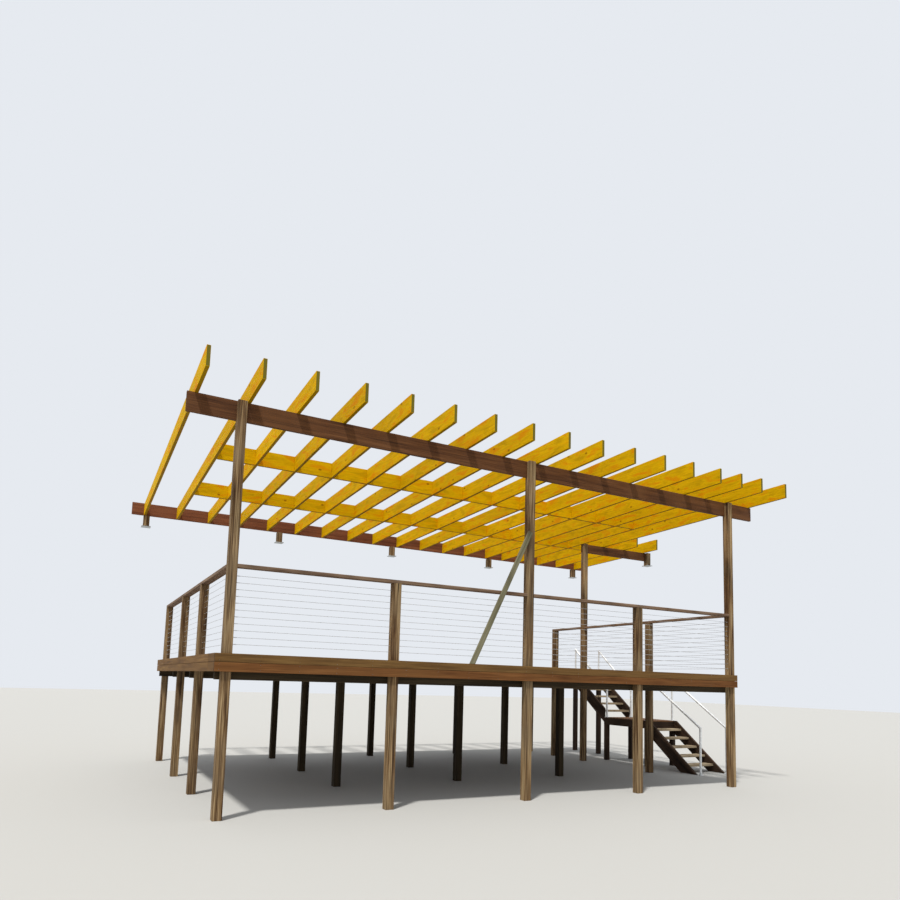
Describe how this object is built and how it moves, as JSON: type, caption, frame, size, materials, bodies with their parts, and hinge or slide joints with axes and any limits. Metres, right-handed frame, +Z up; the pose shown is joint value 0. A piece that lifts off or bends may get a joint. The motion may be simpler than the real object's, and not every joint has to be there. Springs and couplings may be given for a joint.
{
  "type": "wooden pergola",
  "caption": "Flyover pergola of yellow laminated rafters on hardwood beams and posts, over a raised deck with wire balustrades and an open side stair.",
  "frame": {"origin": "middle of the whole part's box in plan, on the ground under the posts", "axes": "+X along the front to the right, +Y from the front to the rear, +Z up"},
  "size_m": [11.157, 7.323, 5.1418],
  "materials": {
    "laminated_yellow": "satin",
    "beam_hardwood": "matte",
    "post_hardwood": "matte",
    "deck_hardwood": "matte",
    "frame_timber": "matte",
    "brace_pine": "matte",
    "stair_timber": "matte",
    "wire_steel": "brushed",
    "galvanised_steel": "matte"
  },
  "bodies": {
    "root": {"bearers": "frame_timber", "blocking_front_row": "laminated_yellow", "blocking_rear_row": "laminated_yellow", "brace": "brace_pine", "decking": "deck_hardwood", "fascia_front_lower": "deck_hardwood", "fascia_front_upper": "deck_hardwood", "fascia_left": "deck_hardwood", "fascia_right": "deck_hardwood", "front_beam": "beam_hardwood", "front_post_left": "post_hardwood", "front_post_middle": "post_hardwood", "front_post_right": "post_hardwood", "handrail_front": "deck_hardwood", "handrail_left": "deck_hardwood", "handrail_right": "deck_hardwood", "inner_stumps": "frame_timber", "joists": "frame_timber", "left_posts": "post_hardwood", "rafters_01_to_03": "laminated_yellow", "rafters_04_to_06": "laminated_yellow", "rafters_07_to_09": "laminated_yellow", "rafters_10_to_12": "laminated_yellow", "rafters_13_to_15": "laminated_yellow", "rafters_16_to_17": "laminated_yellow", "rail_post_left": "post_hardwood", "rail_post_right": "post_hardwood", "rear_beam": "beam_hardwood", "rear_stubs": "post_hardwood", "right_posts": "post_hardwood", "short_rafters": "laminated_yellow", "side_beam": "beam_hardwood", "side_post": "post_hardwood", "side_stub": "post_hardwood", "stair_decks": "deck_hardwood", "stair_frames": "stair_timber", "stair_posts": "stair_timber", "stair_stanchions": "galvanised_steel", "stair_strings": "stair_timber", "stair_treads": "deck_hardwood", "stair_tubes": "galvanised_steel", "stub_plates": "galvanised_steel", "wires_front": "wire_steel", "wires_left": "wire_steel", "wires_right": "wire_steel"}
  },
  "joints": []
}
